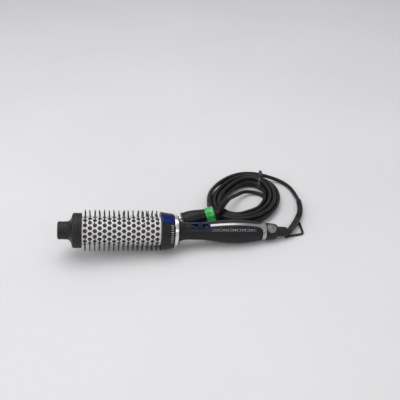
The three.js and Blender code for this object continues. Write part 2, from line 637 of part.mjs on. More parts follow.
function buildPlug() {
  const plug = new THREE.Group();
  plug.position.set(PLUG.x, PLUG.y, PLUG.z);
  plug.rotation.set(0, radians(-PLUG.pitch), radians(PLUG.yaw), 'ZYX');
  root.add(plug);
  add(plug, 'plug_body', turned([
    [0, 0], [0, 13.2], [1.6, 14], [3, 13.5], [9, 14.2], [20, 13.6], [30, 11.8], [36, 11.2], [50, 11],
    [PLUG.length, 9.4], [PLUG.length, 0],
  ], 24), BLACK, 0.4);
  [-9.5, 9.5].forEach((y, i) => {
    const pin = turned([
      [-PLUG.pinLength, 0], [-PLUG.pinLength, 1.4], [-PLUG.pinLength + 1, PLUG.pin],
      [-GAP, PLUG.pin], [-GAP, 0],
    ], 12);
    add(plug, `plug_pin_${i + 1}`, pin.translate(0, y, 0), BRASS, 0.2, 1);
  });
  add(plug, 'plug_tape', tube(36.5, 49.5, 12.1, 11.5, 24), GREEN, 0.3);
  add(root, 'plug_guard', bar(PLUG_GUARD_ROUTE, GUARD.plugRadius, 10, 9), BLACK, 0.55);
  add(root, 'cord_tail', bar(TAIL_ROUTE, CORD.radius, 10, 6), BLACK, 0.5);
}

// ---------------------------------------------------------------- assembly
buildHead();
buildHeater();
buildHandle();
buildSwitch();
buildRear();
buildMotor();
buildCordEnd();
buildCoil();
buildPlug();

brush.rotation.y = TILT;
brush.position.z = AXIS_HEIGHT;

// the origin is the middle of the footprint of the brush, its sleeve and its loop, on the bench
const ON_CORD = [
  'cord_guard', 'cord_lead', 'cord_coil', 'cable_tie', 'cord_tail', 'plug_guard', 'plug_body', 'plug_pin_1',
  'plug_pin_2', 'plug_tape',
];
root.updateMatrixWorld(true);
const footprint = new THREE.Box3();
root.traverse((object) => {
  if (object.isMesh && !ON_CORD.includes(object.name)) {
    footprint.expandByObject(object, true);
  }
});
const middle = footprint.getCenter(new THREE.Vector3());
root.position.set(-middle.x, -middle.y, -footprint.min.z);

export default root;
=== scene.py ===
"""A round hot air brush with a tied mains cord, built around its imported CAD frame.

Sizes are in millimetres in the brush's own axes: X runs along the brush from tip to cord, with 0 at the
middle of the barrel, and angles round it are in degrees, 0 at the front and 90 at the top. BRUSH turns these
into the row frame, in metres. The cord, its guards, the plug and the loop are placed on the bench, in the
axes that the CAD source starts from, with the cord's routes in metres. ON_BENCH turns bench millimetres into
the row frame, and BENCH moves the routes.
"""
import json
import math
import random

import bmesh
import bpy
from mathutils import Matrix, Vector


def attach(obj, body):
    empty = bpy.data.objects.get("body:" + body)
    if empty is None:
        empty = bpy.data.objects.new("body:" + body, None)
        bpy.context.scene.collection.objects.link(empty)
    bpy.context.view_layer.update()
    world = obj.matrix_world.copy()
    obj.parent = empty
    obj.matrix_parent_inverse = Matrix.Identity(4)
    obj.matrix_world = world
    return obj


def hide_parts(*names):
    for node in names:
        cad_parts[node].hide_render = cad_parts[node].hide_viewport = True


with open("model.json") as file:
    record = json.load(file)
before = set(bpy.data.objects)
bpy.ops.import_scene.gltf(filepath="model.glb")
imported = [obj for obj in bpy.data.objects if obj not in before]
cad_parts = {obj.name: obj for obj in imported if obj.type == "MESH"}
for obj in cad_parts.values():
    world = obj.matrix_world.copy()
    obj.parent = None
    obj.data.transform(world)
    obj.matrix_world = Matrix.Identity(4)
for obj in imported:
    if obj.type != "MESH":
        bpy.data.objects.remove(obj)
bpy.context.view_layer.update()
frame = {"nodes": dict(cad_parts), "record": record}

# ---------------------------------------------------------------- frame
MM = 0.001
AXIS_HEIGHT = 34.6
SWIVEL_STATION = 230
swivel = next(j for j in frame["record"]["behaviour"]["joints"] if j["name"] == "cord_swivel")
tilt = -math.asin(swivel["axis"][2])
swivel_point = Vector(swivel["pos_m"])
BRUSH = (
    Matrix.Translation(swivel_point)
    @ Matrix.Rotation(tilt, 4, "Y")
    @ Matrix.Translation((-SWIVEL_STATION * MM, 0, 0))
    @ Matrix.Scale(MM, 4)
)
BENCH = swivel_point - MM * Vector((
    SWIVEL_STATION * math.cos(tilt), 0, AXIS_HEIGHT - SWIVEL_STATION * math.sin(tilt),
))
ON_BENCH = Matrix.Translation(BENCH) @ Matrix.Scale(MM, 4)

# ---------------------------------------------------------------- sizes, in millimetres
BARREL = {"start": -55.4, "end": 56.1, "outer": 21.0, "inner": 20.45, "lip": 21.12}
HOLES = {"columns": 16, "around": 16, "pitch": 6.78, "radius": 3.0, "angle": 33}
PIN = {"root": 1.1, "middle": 0.95, "tip": 0.75, "ball": 0.92, "end": 29.7, "lean": 6}
STRIP = {"count": 8, "inner": 16.9, "outer": 19.7, "end": 52.8}
COLLAR = {"start": 56.4, "end": 75.5, "front": 27.4, "back": 24.9, "lip": 27.9, "bore": 18.6}
BUTTON = {"angle": 80, "middle": 66.5, "length": 17.0, "width": 15.8}
RING = {"start": 75.9, "end": 81, "outer": 23.9, "bore": 18.2}
HANDLE = {"end": 207.7, "wall": 2.2, "rear": 13.5}
HANDLE_OUTLINE = [
    (81.3, 21.9), (82.4, 21.9), (83.6, 17.4), (87.3, 14.3), (94.2, 12.9), (115, 12.8),
    (130, 14.2), (150, 16.6), (168, 17.7), (185, 16.7), (198, 14.9), (207.7, 13.5),
]
CONTROL_ANGLE = 73
SWITCH = {"middle": 113.9, "length": 27.6, "width": 9.2, "floor": 11.7}
TRIM = {"middle": 168.2, "half": 39.4, "width": 5.0, "proud": 0.28}
GROOVE = {"middle": 168.4, "half": 40.1, "width": 5.5}
SCREW_STATIONS = (124.5, 194)
BAND = {"start": 208, "end": 213.6, "radius": 13.7, "taper": 0.09}
BADGE = {"angle": 60, "middle": 221.8, "radius": 7.3}
CORD_RADIUS = 3.1
COIL = {"x": 199, "y": 100, "long": 72.4, "short": 56.6, "turn": 60, "lift": 3.15, "layer": 6.3}
TIE = {"x": 237.2, "y": 147, "turn": 72, "width": 4.2, "thick": 0.8}
PLUG = {"x": 93, "y": 39.5, "z": 14.6, "pitch": 7.5, "yaw": 6.5}


# ---------------------------------------------------------------- materials
def finish(name, dark, light, rough, metallic=0.0, patch=0.02, grain=0.0006, bump=0.15, coat=0.0, sheen=0.0,
           streak=(1, 1, 1), middle=None, anisotropy=0.0, specular=0.5):
    """A surface whose colour drifts between two tones, with its own grain and uneven gloss.

    patch and grain are the sizes of the colour patches and of the grain, in metres."""
    material = bpy.data.materials.new(name)
    material.use_nodes = True
    nodes, links = material.node_tree.nodes, material.node_tree.links
    shader = nodes["Principled BSDF"]
    place = nodes.new("ShaderNodeTexCoord")
    stretch = nodes.new("ShaderNodeMapping")
    stretch.inputs["Scale"].default_value = streak
    links.new(place.outputs["Object"], stretch.inputs["Vector"])

    def noise(scale, detail):
        node = nodes.new("ShaderNodeTexNoise")
        node.inputs["Scale"].default_value = scale
        node.inputs["Detail"].default_value = detail
        links.new(stretch.outputs["Vector"], node.inputs["Vector"])
        return node.outputs["Fac"]

    tone = nodes.new("ShaderNodeValToRGB")
    tone.color_ramp.elements[0].position = 0.32
    tone.color_ramp.elements[0].color = (*dark, 1)
    tone.color_ramp.elements[1].position = 0.68
    tone.color_ramp.elements[1].color = (*light, 1)
    if middle:
        tone.color_ramp.elements.new(0.5).color = (*middle, 1)
    links.new(noise(1 / patch, 4), tone.inputs["Fac"])
    links.new(tone.outputs["Color"], shader.inputs["Base Color"])

    gloss = nodes.new("ShaderNodeMapRange")
    gloss.inputs["To Min"].default_value = rough[0]
    gloss.inputs["To Max"].default_value = rough[1]
    links.new(noise(3 / patch, 6), gloss.inputs["Value"])
    links.new(gloss.outputs["Result"], shader.inputs["Roughness"])

    relief = nodes.new("ShaderNodeBump")
    relief.inputs["Strength"].default_value = bump
    relief.inputs["Distance"].default_value = grain / 4
    links.new(noise(1 / grain, 3), relief.inputs["Height"])
    links.new(relief.outputs["Normal"], shader.inputs["Normal"])
    shader.inputs["Metallic"].default_value = metallic
    shader.inputs["Specular IOR Level"].default_value = specular
    shader.inputs["Coat Weight"].default_value = coat
    shader.inputs["Sheen Weight"].default_value = sheen
    shader.inputs["Anisotropic"].default_value = anisotropy
    return material


CERAMIC = finish("ceramic_white", (0.78, 0.77, 0.75), (0.86, 0.855, 0.84), (0.22, 0.34), bump=0.08, coat=0.25)
NYLON = finish("nylon_black", (0.030, 0.028, 0.031), (0.060, 0.056, 0.060), (0.24, 0.4), patch=0.006)
MATTE = finish("matte_black", (0.012, 0.011, 0.012), (0.021, 0.0195, 0.021), (0.40, 0.54), grain=0.0004,
               bump=0.3, specular=0.3)
GLOSSY = finish("gloss_black", (0.006, 0.0056, 0.0065), (0.012, 0.0115, 0.013), (0.30, 0.42), grain=0.0004,
                bump=0.12, specular=0.3)
BLUE = finish("blue_chrome", (0.010, 0.075, 0.20), (0.060, 0.030, 0.30), (0.10, 0.2), 0.9, patch=0.009,
              bump=0.04, middle=(0.010, 0.022, 0.16))
CHROME = finish("chrome_trim", (0.74, 0.74, 0.76), (0.83, 0.83, 0.85), (0.06, 0.16), 1.0, bump=0.03)
# a darker copy of the chrome finish for the trim strip and the band: its streaked grain and anisotropy are
# brushed metal, while its low tone is painted shade for the dark reflections in the chrome
BRUSHED_PAINTED_SHADE = finish("trim_brushed_painted_shade", (0.30, 0.30, 0.31), (0.52, 0.52, 0.54), (0.2, 0.34), 1.0, patch=0.012,
                 grain=0.0003, bump=0.2, streak=(0.15, 1, 1), anisotropy=0.4)
BADGE_METAL = finish("badge_metal", (0.20, 0.20, 0.21), (0.33, 0.33, 0.34), (0.25, 0.4), 0.9, patch=0.004)
PRINT = finish("grey_print", (0.40, 0.40, 0.41), (0.55, 0.55, 0.56), (0.5, 0.6), patch=0.002)
STEEL = finish("steel", (0.45, 0.46, 0.48), (0.62, 0.63, 0.65), (0.25, 0.4), 1.0, patch=0.008)
BRASS = finish("brass", (0.60, 0.43, 0.18), (0.76, 0.58, 0.28), (0.2, 0.35), 1.0, patch=0.006)
MICA = finish("mica", (0.50, 0.42, 0.30), (0.68, 0.60, 0.46), (0.45, 0.7), patch=0.005, grain=0.0008,
              bump=0.5)
BOARD = finish("board_green", (0.03, 0.14, 0.06), (0.05, 0.22, 0.10), (0.25, 0.4), patch=0.006, coat=0.3)
RUBBER = finish("cord_rubber", (0.005, 0.0047, 0.005), (0.013, 0.012, 0.013), (0.30, 0.44), patch=0.012,
                grain=0.0005, bump=0.2, specular=0.3)
TAPE = finish("green_tape", (0.006, 0.30, 0.045), (0.035, 0.58, 0.12), (0.16, 0.34), patch=0.007,
              grain=0.0009, bump=0.35, coat=0.5)
PIN_METAL = finish("pin_metal", (0.66, 0.63, 0.57), (0.80, 0.78, 0.72), (0.12, 0.26), 1.0, patch=0.005)
SLOT_FINISH = {
    "ceramic_white": CERAMIC, "nylon_black": NYLON, "matte_black": MATTE, "gloss_black": GLOSSY,
    "blue_chrome": BLUE, "chrome_trim": CHROME, "badge_metal": BADGE_METAL, "steel": STEEL, "brass": BRASS,
    "mica": MICA, "board_green": BOARD, "cord_rubber": RUBBER, "green_tape": TAPE, "pin_metal": PIN_METAL,
}


# ---------------------------------------------------------------- mesh helpers
def piece(name, bm, body, slot, replaced=(), matrix=BRUSH, sharp=32, material=None):
    """Makes the finished mesh an object in the row frame that rides on a CAD body."""
    bmesh.ops.remove_doubles(bm, verts=bm.verts, dist=1e-4)
    bmesh.ops.recalc_face_normals(bm, faces=bm.faces)
    bm.transform(matrix)
    mesh = bpy.data.meshes.new(name)
    bm.to_mesh(mesh)
    bm.free()
    mesh.shade_smooth()
    mesh.set_sharp_from_angle(angle=math.radians(sharp))
    mesh.materials.append(material or SLOT_FINISH[slot])
    obj = bpy.data.objects.new(name, mesh)
    bpy.context.scene.collection.objects.link(obj)
    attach(obj, body)
    if replaced:
        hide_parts(*replaced)
    return obj


def rounded(corners, steps=5):
    """A closed outline from corners (x, y) or (x, y, radius), where a radius turns the corner into an arc."""
    line = []
    for i, corner in enumerate(corners):
        here = Vector(corner[:2])
        if len(corner) < 3:
            line.append(here)
            continue
        before = Vector(corners[i - 1][:2]) - here
        after = Vector(corners[(i + 1) % len(corners)][:2]) - here
        reach = min(corner[2], before.length * 0.49, after.length * 0.49)
        start = here + before.normalized() * reach
        end = here + after.normalized() * reach
        for k in range(steps + 1):
            t = k / steps
            line.append(start * (1 - t) ** 2 + here * 2 * t * (1 - t) + end * t * t)
    return [(p.x, p.y) for p in line]


def bridge(bm, one, two, closed=True):
    """Faces between two rows of vertices, where a row may be one point."""
    count = max(len(one), len(two))
    for i in range(count if closed else count - 1):
        j = (i + 1) % count
        corners = [one[i % len(one)], one[j % len(one)], two[j % len(two)], two[i % len(two)]]
        unique = list(dict.fromkeys(corners))
        if len(unique) > 2:
            bm.faces.new(unique)


def turned(profile, sides=96):
    """A closed profile of (station, radius) swept round the brush's axis."""
    bm = bmesh.new()
    rings = []
    for station, radius in profile:
        if radius < 1e-6:
            rings.append([bm.verts.new((station, 0, 0))])
            continue
        turns = [2 * math.pi * i / sides for i in range(sides)]
        rings.append([bm.verts.new((station, radius * math.cos(a), radius * math.sin(a))) for a in turns])
    for i, ring in enumerate(rings):
        after = rings[(i + 1) % len(rings)]
        if len(ring) > 1 or len(after) > 1:
            bridge(bm, ring, after)
    return bm


def at_angle(bm, angle):
    """Turns geometry drawn for the top of the brush to another angle round it."""
    bm.transform(Matrix.Rotation(math.radians(90 - angle), 4, "X"))
    return bm


def plate_outline(half_length, half_width, corner, steps=8):
    """Points of a rectangle with round corners, anticlockwise."""
    corner = max(min(corner, half_length, half_width), 0.02)
    points = []
    for quarter, (x, y) in enumerate(((1, 1), (-1, 1), (-1, -1), (1, -1))):
        for k in range(steps + 1):
            a = math.pi / 2 * (quarter + k / steps)
            points.append((
                x * (half_length - corner) + corner * math.cos(a),
                y * (half_width - corner) + corner * math.sin(a),
            ))
    return points


def pad(station, half_length, half_width, corner, loops, surface, ring=False):
    """A plate on the top of the brush, from loops of (inset, rise) over surface(station, across).

    A plain pad is closed over its last loop, and a ring's last loop joins its first."""
    bm = bmesh.new()
    rows = []
    for inset, rise in loops:
        row = []
        for x, y in plate_outline(half_length - inset, half_width - inset, corner - inset):
            row.append(bm.verts.new((station + x, y, surface(station + x, y) + rise)))
        rows.append(row)
    for one, two in zip(rows, rows[1:]):
        bridge(bm, one, two)
    if ring:
        bridge(bm, rows[-1], rows[0])
    else:
        bm.faces.new(rows[0][::-1])
        bm.faces.new(rows[-1])
    return bm


def on_axis_plane(_station, _across):
    """The surface of a pad whose loops give its heights over the brush's axis."""
    return 0


def smooth_line(points, spacing):
    """A centripetal curve through the points, at about equal spacing."""
    points = [Vector(p) for p in points]
    points = [2 * points[0] - points[1], *points, 2 * points[-1] - points[-2]]
    line = []
    for p0, p1, p2, p3 in zip(points, points[1:], points[2:], points[3:]):
        steps = max(1, round((p2 - p1).length / spacing))
        t1 = (p1 - p0).length ** 0.5
        t2 = t1 + (p2 - p1).length ** 0.5
        t3 = t2 + (p3 - p2).length ** 0.5
        for k in range(steps):
            t = t1 + (t2 - t1) * k / steps
            a1 = p0 * ((t1 - t) / t1) + p1 * (t / t1)
            a2 = p1 * ((t2 - t) / (t2 - t1)) + p2 * ((t - t1) / (t2 - t1))
            a3 = p2 * ((t3 - t) / (t3 - t2)) + p3 * ((t - t2) / (t3 - t2))
            b1 = a1 * ((t2 - t) / t2) + a2 * (t / t2)
            b2 = a2 * ((t3 - t) / (t3 - t1)) + a3 * ((t - t1) / (t3 - t1))
            line.append(b1 * ((t2 - t) / (t2 - t1)) + b2 * ((t - t1) / (t2 - t1)))
    line.append(points[-2])
    return line


def swept(line, radius, sides=24, closed=False):
    """A round bar along a line, where radius(distance) is its radius at a distance along it."""
    bm = bmesh.new()
    rows = []
    distance = 0.0
    count = len(line)
    side = None
    for i, point in enumerate(line):
        before = line[i - 1] if closed or i else point
        after = line[(i + 1) % count] if closed or i < count - 1 else point
        along = (after - before).normalized()
        side = along.cross(Vector((0, 0, 1))) if side is None else side - along * side.dot(along)
        side.normalize()
        top = side.cross(along)
        r = radius(distance)
        turns = [2 * math.pi * k / sides for k in range(sides)]
        rows.append([bm.verts.new(point + (side * math.cos(a) + top * math.sin(a)) * r) for a in turns])
        if i < count - 1:
            distance += (line[i + 1] - point).length
    for one, two in zip(rows, rows[1:]):
        bridge(bm, one, two)
    if closed:
        bridge(bm, rows[-1], rows[0])
    else:
        bm.faces.new(rows[0][::-1])
        bm.faces.new(rows[-1])
    return bm


def merged(*parts):
    """One mesh that holds several."""
    whole = bmesh.new()
    for part in parts:
        mesh = bpy.data.meshes.new("part")
        part.to_mesh(mesh)
        part.free()
        whole.from_mesh(mesh)
        bpy.data.meshes.remove(mesh)
    return whole


def carved(body, *cutters):
    """The body with closed shapes cut out of it."""
    def as_object(bm):
        bmesh.ops.remove_doubles(bm, verts=bm.verts, dist=1e-4)
        bmesh.ops.recalc_face_normals(bm, faces=bm.faces)
        mesh = bpy.data.meshes.new("solid")
        bm.to_mesh(mesh)
        bm.free()
        obj = bpy.data.objects.new("solid", mesh)
        bpy.context.scene.collection.objects.link(obj)
        return obj

    base = as_object(body)
    tools = [as_object(cutter) for cutter in cutters]
    for tool in tools:
        cut = base.modifiers.new("cut", "BOOLEAN")
        cut.operation = "DIFFERENCE"
        cut.solver = "EXACT"
        cut.object = tool
    bpy.context.view_layer.update()
    mesh = bpy.data.meshes.new_from_object(base.evaluated_get(bpy.context.evaluated_depsgraph_get()))
    result = bmesh.new()
    result.from_mesh(mesh)
    bpy.data.meshes.remove(mesh)
    for obj in (base, *tools):
        bpy.data.meshes.remove(obj.data)
    return result


def between(outline, station):
    """The radius of an outline at a station, on a smooth curve through its points."""
    last = len(outline) - 1
    i = max(k for k in range(last) if outline[k][0] <= station or k == 0)
    (s1, r1), (s2, r2) = outline[i], outline[i + 1]
    s0, r0 = outline[max(i - 1, 0)]
    s3, r3 = outline[min(i + 2, last)]
    slope1 = (r2 - r0) / (s2 - s0)
    slope2 = (r3 - r1) / (s3 - s1)
    if (r2 - r1) * (r1 - r0) <= 0:
        slope1 = 0
    if (r3 - r2) * (r2 - r1) <= 0:
        slope2 = 0
    width = s2 - s1
    t = min(max((station - s1) / width, 0), 1)
    return (
        (2 * t ** 3 - 3 * t * t + 1) * r1 + (t ** 3 - 2 * t * t + t) * width * slope1
        + (3 * t * t - 2 * t ** 3) * r2 + (t ** 3 - t * t) * width * slope2
    )


def handle_radius(station):
    return between(HANDLE_OUTLINE, station)


def over(radius_of):
    """The height of a turned surface over the brush's axis plane, at a station and a distance across."""
    return lambda station, across: math.sqrt(max(radius_of(station) ** 2 - across ** 2, 0.01))


# ---------------------------------------------------------------- camera, fitted to the photograph
barrel_middle = BRUSH @ Vector((0, 0, 0))
camera_data = bpy.data.cameras.new("photo_camera")
camera_data.lens = 54
camera_data.sensor_width = 36
camera_data.clip_end = 20
camera = bpy.data.objects.new("photo_camera", camera_data)
camera.location = barrel_middle + Vector((0.015946, -0.709494, 0.508584))
camera.rotation_euler = (math.radians(57.0), math.radians(-0.3472), math.radians(-7.6713))
bpy.context.scene.collection.objects.link(camera)
bpy.context.scene.camera = camera

# ---------------------------------------------------------------- cord
LEAD_ROUTE = [
    (0.2904, 0.088, 0.0053), (0.2907, 0.0983, 0.0044), (0.2905, 0.110, 0.0036), (0.2896, 0.1222, 0.0032),
    (0.2873, 0.134, 0.0032), (0.283, 0.1448, 0.0033), (0.2765, 0.1535, 0.0042), (0.268, 0.1592, 0.0062),
    (0.2585, 0.1618, 0.0091), (0.2495, 0.1626, 0.0122), (0.241, 0.1628, 0.0149),
]
TAIL_ROUTE = [
    (0.205, 0.1205, 0.0088), (0.1959, 0.1132, 0.0108), (0.1875, 0.1036, 0.014), (0.1807, 0.094, 0.0179),
    (0.1747, 0.0846, 0.0218), (0.1699, 0.0775, 0.0243),
]
# places of the turns in the bundle's section, in winding order: (lane from the outside, layer from the floor)
TURNS = [(0.5, 2), (1.5, 2), (2.5, 2), (3, 1), (2, 1), (1, 1), (0, 1), (0.5, 0), (1.5, 0), (2.6, 0)]
TURN_POINTS = 24
# angles from the coil's long axis at which the first turn starts and the last one leaves
FIRST_TURN = 12
LAST_TURN = -78
# angles in a turn between which the cord moves across its layer, or drops to the next one, by layer
SHIFTS = {2: (250, 330), 1: (130, 210), 0: (20, 100)}
DROPS = {2: (190, 262), 1: (80, 150)}
# lanes are a pitch apart, and looser at two places: (how much more, angle)
LANES = {"pitch": 6.3, "loose": [(3.2, 76), (1.4, -105)]}
# the upper turns stand higher round one angle: lift is for each layer's height above the lowest layer
RISE = {"angle": 10, "lift": 1.6}
RUN_OUT = {"x": 216.5, "y": 99.5, "radius": 24.9, "heights": [(41, 3.4), (65, 4.3), (88, 5.8)]}


def bump(angle, middle, width=48):
    """A smooth rise to 1 at one place round the coil."""
    away = (angle - middle + 180) % 360 - 180
    return math.exp(-(away / width) ** 2)


def lane_point(angle, lane, height):
    """A point on a lane of the coil, at an angle from the coil's long axis, in millimetres on the bench."""
    t = math.radians(angle)
    nx, ny = math.cos(t) / COIL["long"], math.sin(t) / COIL["short"]
    size = math.hypot(nx, ny)
    inward = lane * (LANES["pitch"] + sum(more * bump(angle, middle) for more, middle in LANES["loose"]))
    height += RISE["lift"] * max(height / COIL["layer"] - 1, 0) * bump(angle, RISE["angle"])
    x = COIL["long"] * math.cos(t) - inward * nx / size
    y = COIL["short"] * math.sin(t) - inward * ny / size
    turn = math.radians(COIL["turn"])
    return Vector((
        COIL["x"] + x * math.cos(turn) - y * math.sin(turn),
        COIL["y"] + x * math.sin(turn) + y * math.cos(turn),
        height,
    ))


def eased(value):
    """A share from 0 to 1 that starts and ends gently."""
    value = min(max(value, 0), 1)
    return value * value * (3 - 2 * value)


def coil_line():
    """Points along all the turns: each keeps its place in the section, then moves over to the next turn's."""
    points = []
    last = len(TURNS) - 1
    for number, place in enumerate(TURNS):
        stop = 360 + LAST_TURN if number == last else 360 + FIRST_TURN
        steps = round(TURN_POINTS * (stop - FIRST_TURN) / 360)
        for k in range(steps + (number == last)):
            angle = FIRST_TURN + (stop - FIRST_TURN) * k / steps
            lane, layer = place
            if number < last:
                after = TURNS[number + 1]
                drops = after[1] != layer
                start, end = (DROPS if drops else SHIFTS)[layer]
                share = (angle - start) / (end - start)
                lane += (after[0] - lane) * eased(1.4 * share if drops else share)
                layer += (after[1] - layer) * eased(1.4 * share - 0.4 if drops else share)
            points.append(lane_point(angle, lane, COIL["lift"] + COIL["layer"] * layer))
    return points


def run_out():
    """The arc by which the last turn leaves the coil towards the plug."""
    return [
        Vector((
            RUN_OUT["x"] + RUN_OUT["radius"] * math.cos(math.radians(a)),
            RUN_OUT["y"] + RUN_OUT["radius"] * math.sin(math.radians(a)),
            z,
        ))
        for a, z in RUN_OUT["heights"]
    ]


def build_cord():
    """The whole cord as one curve, from its strain relief to the plug's, and the points it goes through."""
    line = [BENCH + Vector(p) for p in LEAD_ROUTE]
    line += [ON_BENCH @ p for p in coil_line() + run_out()]
    line += [BENCH + Vector(p) for p in TAIL_ROUTE]
    curve = bpy.data.curves.new("mains_cord", "CURVE")
    curve.dimensions = "3D"
    curve.resolution_u = 6
    curve.bevel_depth = CORD_RADIUS * MM
    curve.bevel_resolution = 5
    curve.use_fill_caps = True
    spline = curve.splines.new("BEZIER")
    spline.bezier_points.add(len(line) - 1)
    for knot, point in zip(spline.bezier_points, line):
        knot.co = point
        knot.handle_left_type = "AUTO"
        knot.handle_right_type = "AUTO"
    curve.materials.append(RUBBER)
    cord = bpy.data.objects.new("mains_cord", curve)
    bpy.context.scene.collection.objects.link(cord)
    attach(cord, "cord_end")
    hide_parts("cord_lead", "cord_coil", "cord_tail")
    return cord, line


cord, cord_line = build_cord()


def ribbed(root, tip, pitch, length):
    """Radius of a tapered strain relief with moulded ribs, with smooth collars at both ends."""
    first_collar, last_collar, depth = 4, 3, 1.1

    def radius(distance):
        share = min(distance / length, 1)
        plain = root + (tip - root) * share
        if distance < first_collar or distance > length - last_collar:
            return plain
        phase = (distance - first_collar) / pitch % 1
        groove = eased((phase - 0.55) / 0.1) - eased((phase - 0.9) / 0.1)
        return plain - depth * groove
    return radius


ON_AXIS = [Vector((s * math.cos(tilt), 0, AXIS_HEIGHT - s * math.sin(tilt))) for s in (248.5, 251)]
ELBOW_ROUTE = [*ON_AXIS, (257, 9.5, 9.3), (263.3, 18.8, 8.9), (269.8, 28.5, 8.4)]
GUARD_ROUTE = [
    (269.9, 28.6, 8.4), (275, 37.9, 8.2), (280, 47.4, 7.8), (283.9, 57.5, 7.3), (287.2, 70.3, 6.5),
    (290.4, 88, 5.3),
]


def build_cord_guards():
    """The smooth arm out of the swivel and the ribbed strain reliefs at both ends of the cord."""
    elbow = smooth_line(ELBOW_ROUTE, 0.8)
    piece("swivel_arm", swept(elbow, lambda d: 4.8 - 0.1 * eased(d / 12), 32), "cord_end", "matte_black",
          ["swivel_elbow"], ON_BENCH)
    guard = smooth_line(GUARD_ROUTE, 0.35)
    relief = piece("strain_relief", swept(guard, ribbed(4.8, 4.1, 3.1, 64), 32), "cord_end", "cord_rubber",
                   ["cord_guard"], ON_BENCH)
    plug_line = smooth_line(PLUG_GUARD_ROUTE, 0.35)
    plug_relief = piece("plug_strain_relief", swept(plug_line, ribbed(5.0, 3.6, 3.1, 45), 32), "cord_end",
                        "cord_rubber", ["plug_guard"], ON_BENCH)
    return relief, plug_relief


def along_plug(distance):
    """A point on the plug's axis, at a distance behind its face."""
    pitch, yaw = math.radians(PLUG["pitch"]), math.radians(PLUG["yaw"])
    way = Vector((math.cos(pitch) * math.cos(yaw), math.cos(pitch) * math.sin(yaw), math.sin(pitch)))
    return Vector((PLUG["x"], PLUG["y"], PLUG["z"])) + way * distance


PLUG_GUARD_ROUTE = [
    along_plug(52.6), along_plug(55.5), (150.6, 48.4, 23.6), (154, 52.8, 25), (158.8, 60, 25.5),
    (164, 68.5, 25.3), (169.9, 77.5, 24.3),
]
ON_PLUG = (
    ON_BENCH
    @ Matrix.Translation((PLUG["x"], PLUG["y"], PLUG["z"]))
    @ Matrix.Rotation(math.radians(PLUG["yaw"]), 4, "Z")
    @ Matrix.Rotation(math.radians(-PLUG["pitch"]), 4, "Y")
)


def build_plug():
    body = turned(rounded([
        (0, 0), (0, 13.3, 0.6), (1.4, 14.2, 0.8), (2.9, 14.2, 0.5), (3.4, 13.3, 0.5), (9, 14.2, 4),
        (20, 13.6, 6), (30, 11.8, 4), (36, 11.1, 3), (50, 10.8, 1), (52, 9.4, 1), (52, 0),
    ]))
    plug = piece("plug_housing", body, "cord_end", "gloss_black", ["plug_body"], ON_PLUG)
    contacts = []
    for number, y in enumerate((-9.5, 9.5), 1):
        pin = turned(rounded([(-19, 0), (-19, 1.5), (-18, 2.4, 1.2), (-10, 2.4), (-0.3, 2.4), (-0.3, 0)]), 32)
        pin.transform(Matrix.Translation((0, y, 0)))
        name, replaced = f"plug_contact_{number}", [f"plug_pin_{number}"]
        contacts.append(piece(name, pin, "cord_end", "pin_metal", replaced, ON_PLUG))
    return plug, contacts, build_tape()


def build_tape():
    """A few turns of tape round the plug's neck, with wrinkles and an uneven edge."""
    tape = bmesh.new()
    edges = (36.5, 37.2, 48.8, 49.5)
    profile = [
        (36.5, 0.1), (36.5, 0.55), (37.2, 0.8), (39, 0.75), (41, 0.8), (43, 0.72), (45, 0.8), (47, 0.74),
        (48.8, 0.8), (49.5, 0.55), (49.5, 0.1),
    ]
    sides = 120
    rows = []
    for station, lift in profile:
        row = []
        for i in range(sides):
            a = 2 * math.pi * i / sides
            wrinkle = 0.16 * math.sin(7 * a + station * 0.9) * math.sin(3 * a + 1.7)
            wrinkle += 0.1 * math.sin(19 * a - station)
            edge = 0.5 * math.sin(2 * a + 0.8) if station in edges else 0
            r = 11.2 + lift * (1 + 0.5 * wrinkle) + (wrinkle if lift > 0.6 else 0)
            row.append(tape.verts.new((station + edge, r * math.cos(a), r * math.sin(a))))
        rows.append(row)
    for one, two in zip(rows, rows[1:] + rows[:1]):
        bridge(tape, one, two)
    return piece("green_tape_band", tape, "cord_end", "green_tape", ["plug_tape"], ON_PLUG, 60)


def hull(points):
    """The convex outline of points in a plane, anticlockwise."""
    points = sorted(points)
    halves = []
    for run in (points, points[::-1]):
        half = []
        for p in run:
            while len(half) > 1:
                (x0, y0), (x1, y1) = half[-2:]
                if (x1 - x0) * (p[1] - y0) > (y1 - y0) * (p[0] - x0):
                    break
                half.pop()
            half.append(p)
        halves += half[:-1]
    return halves


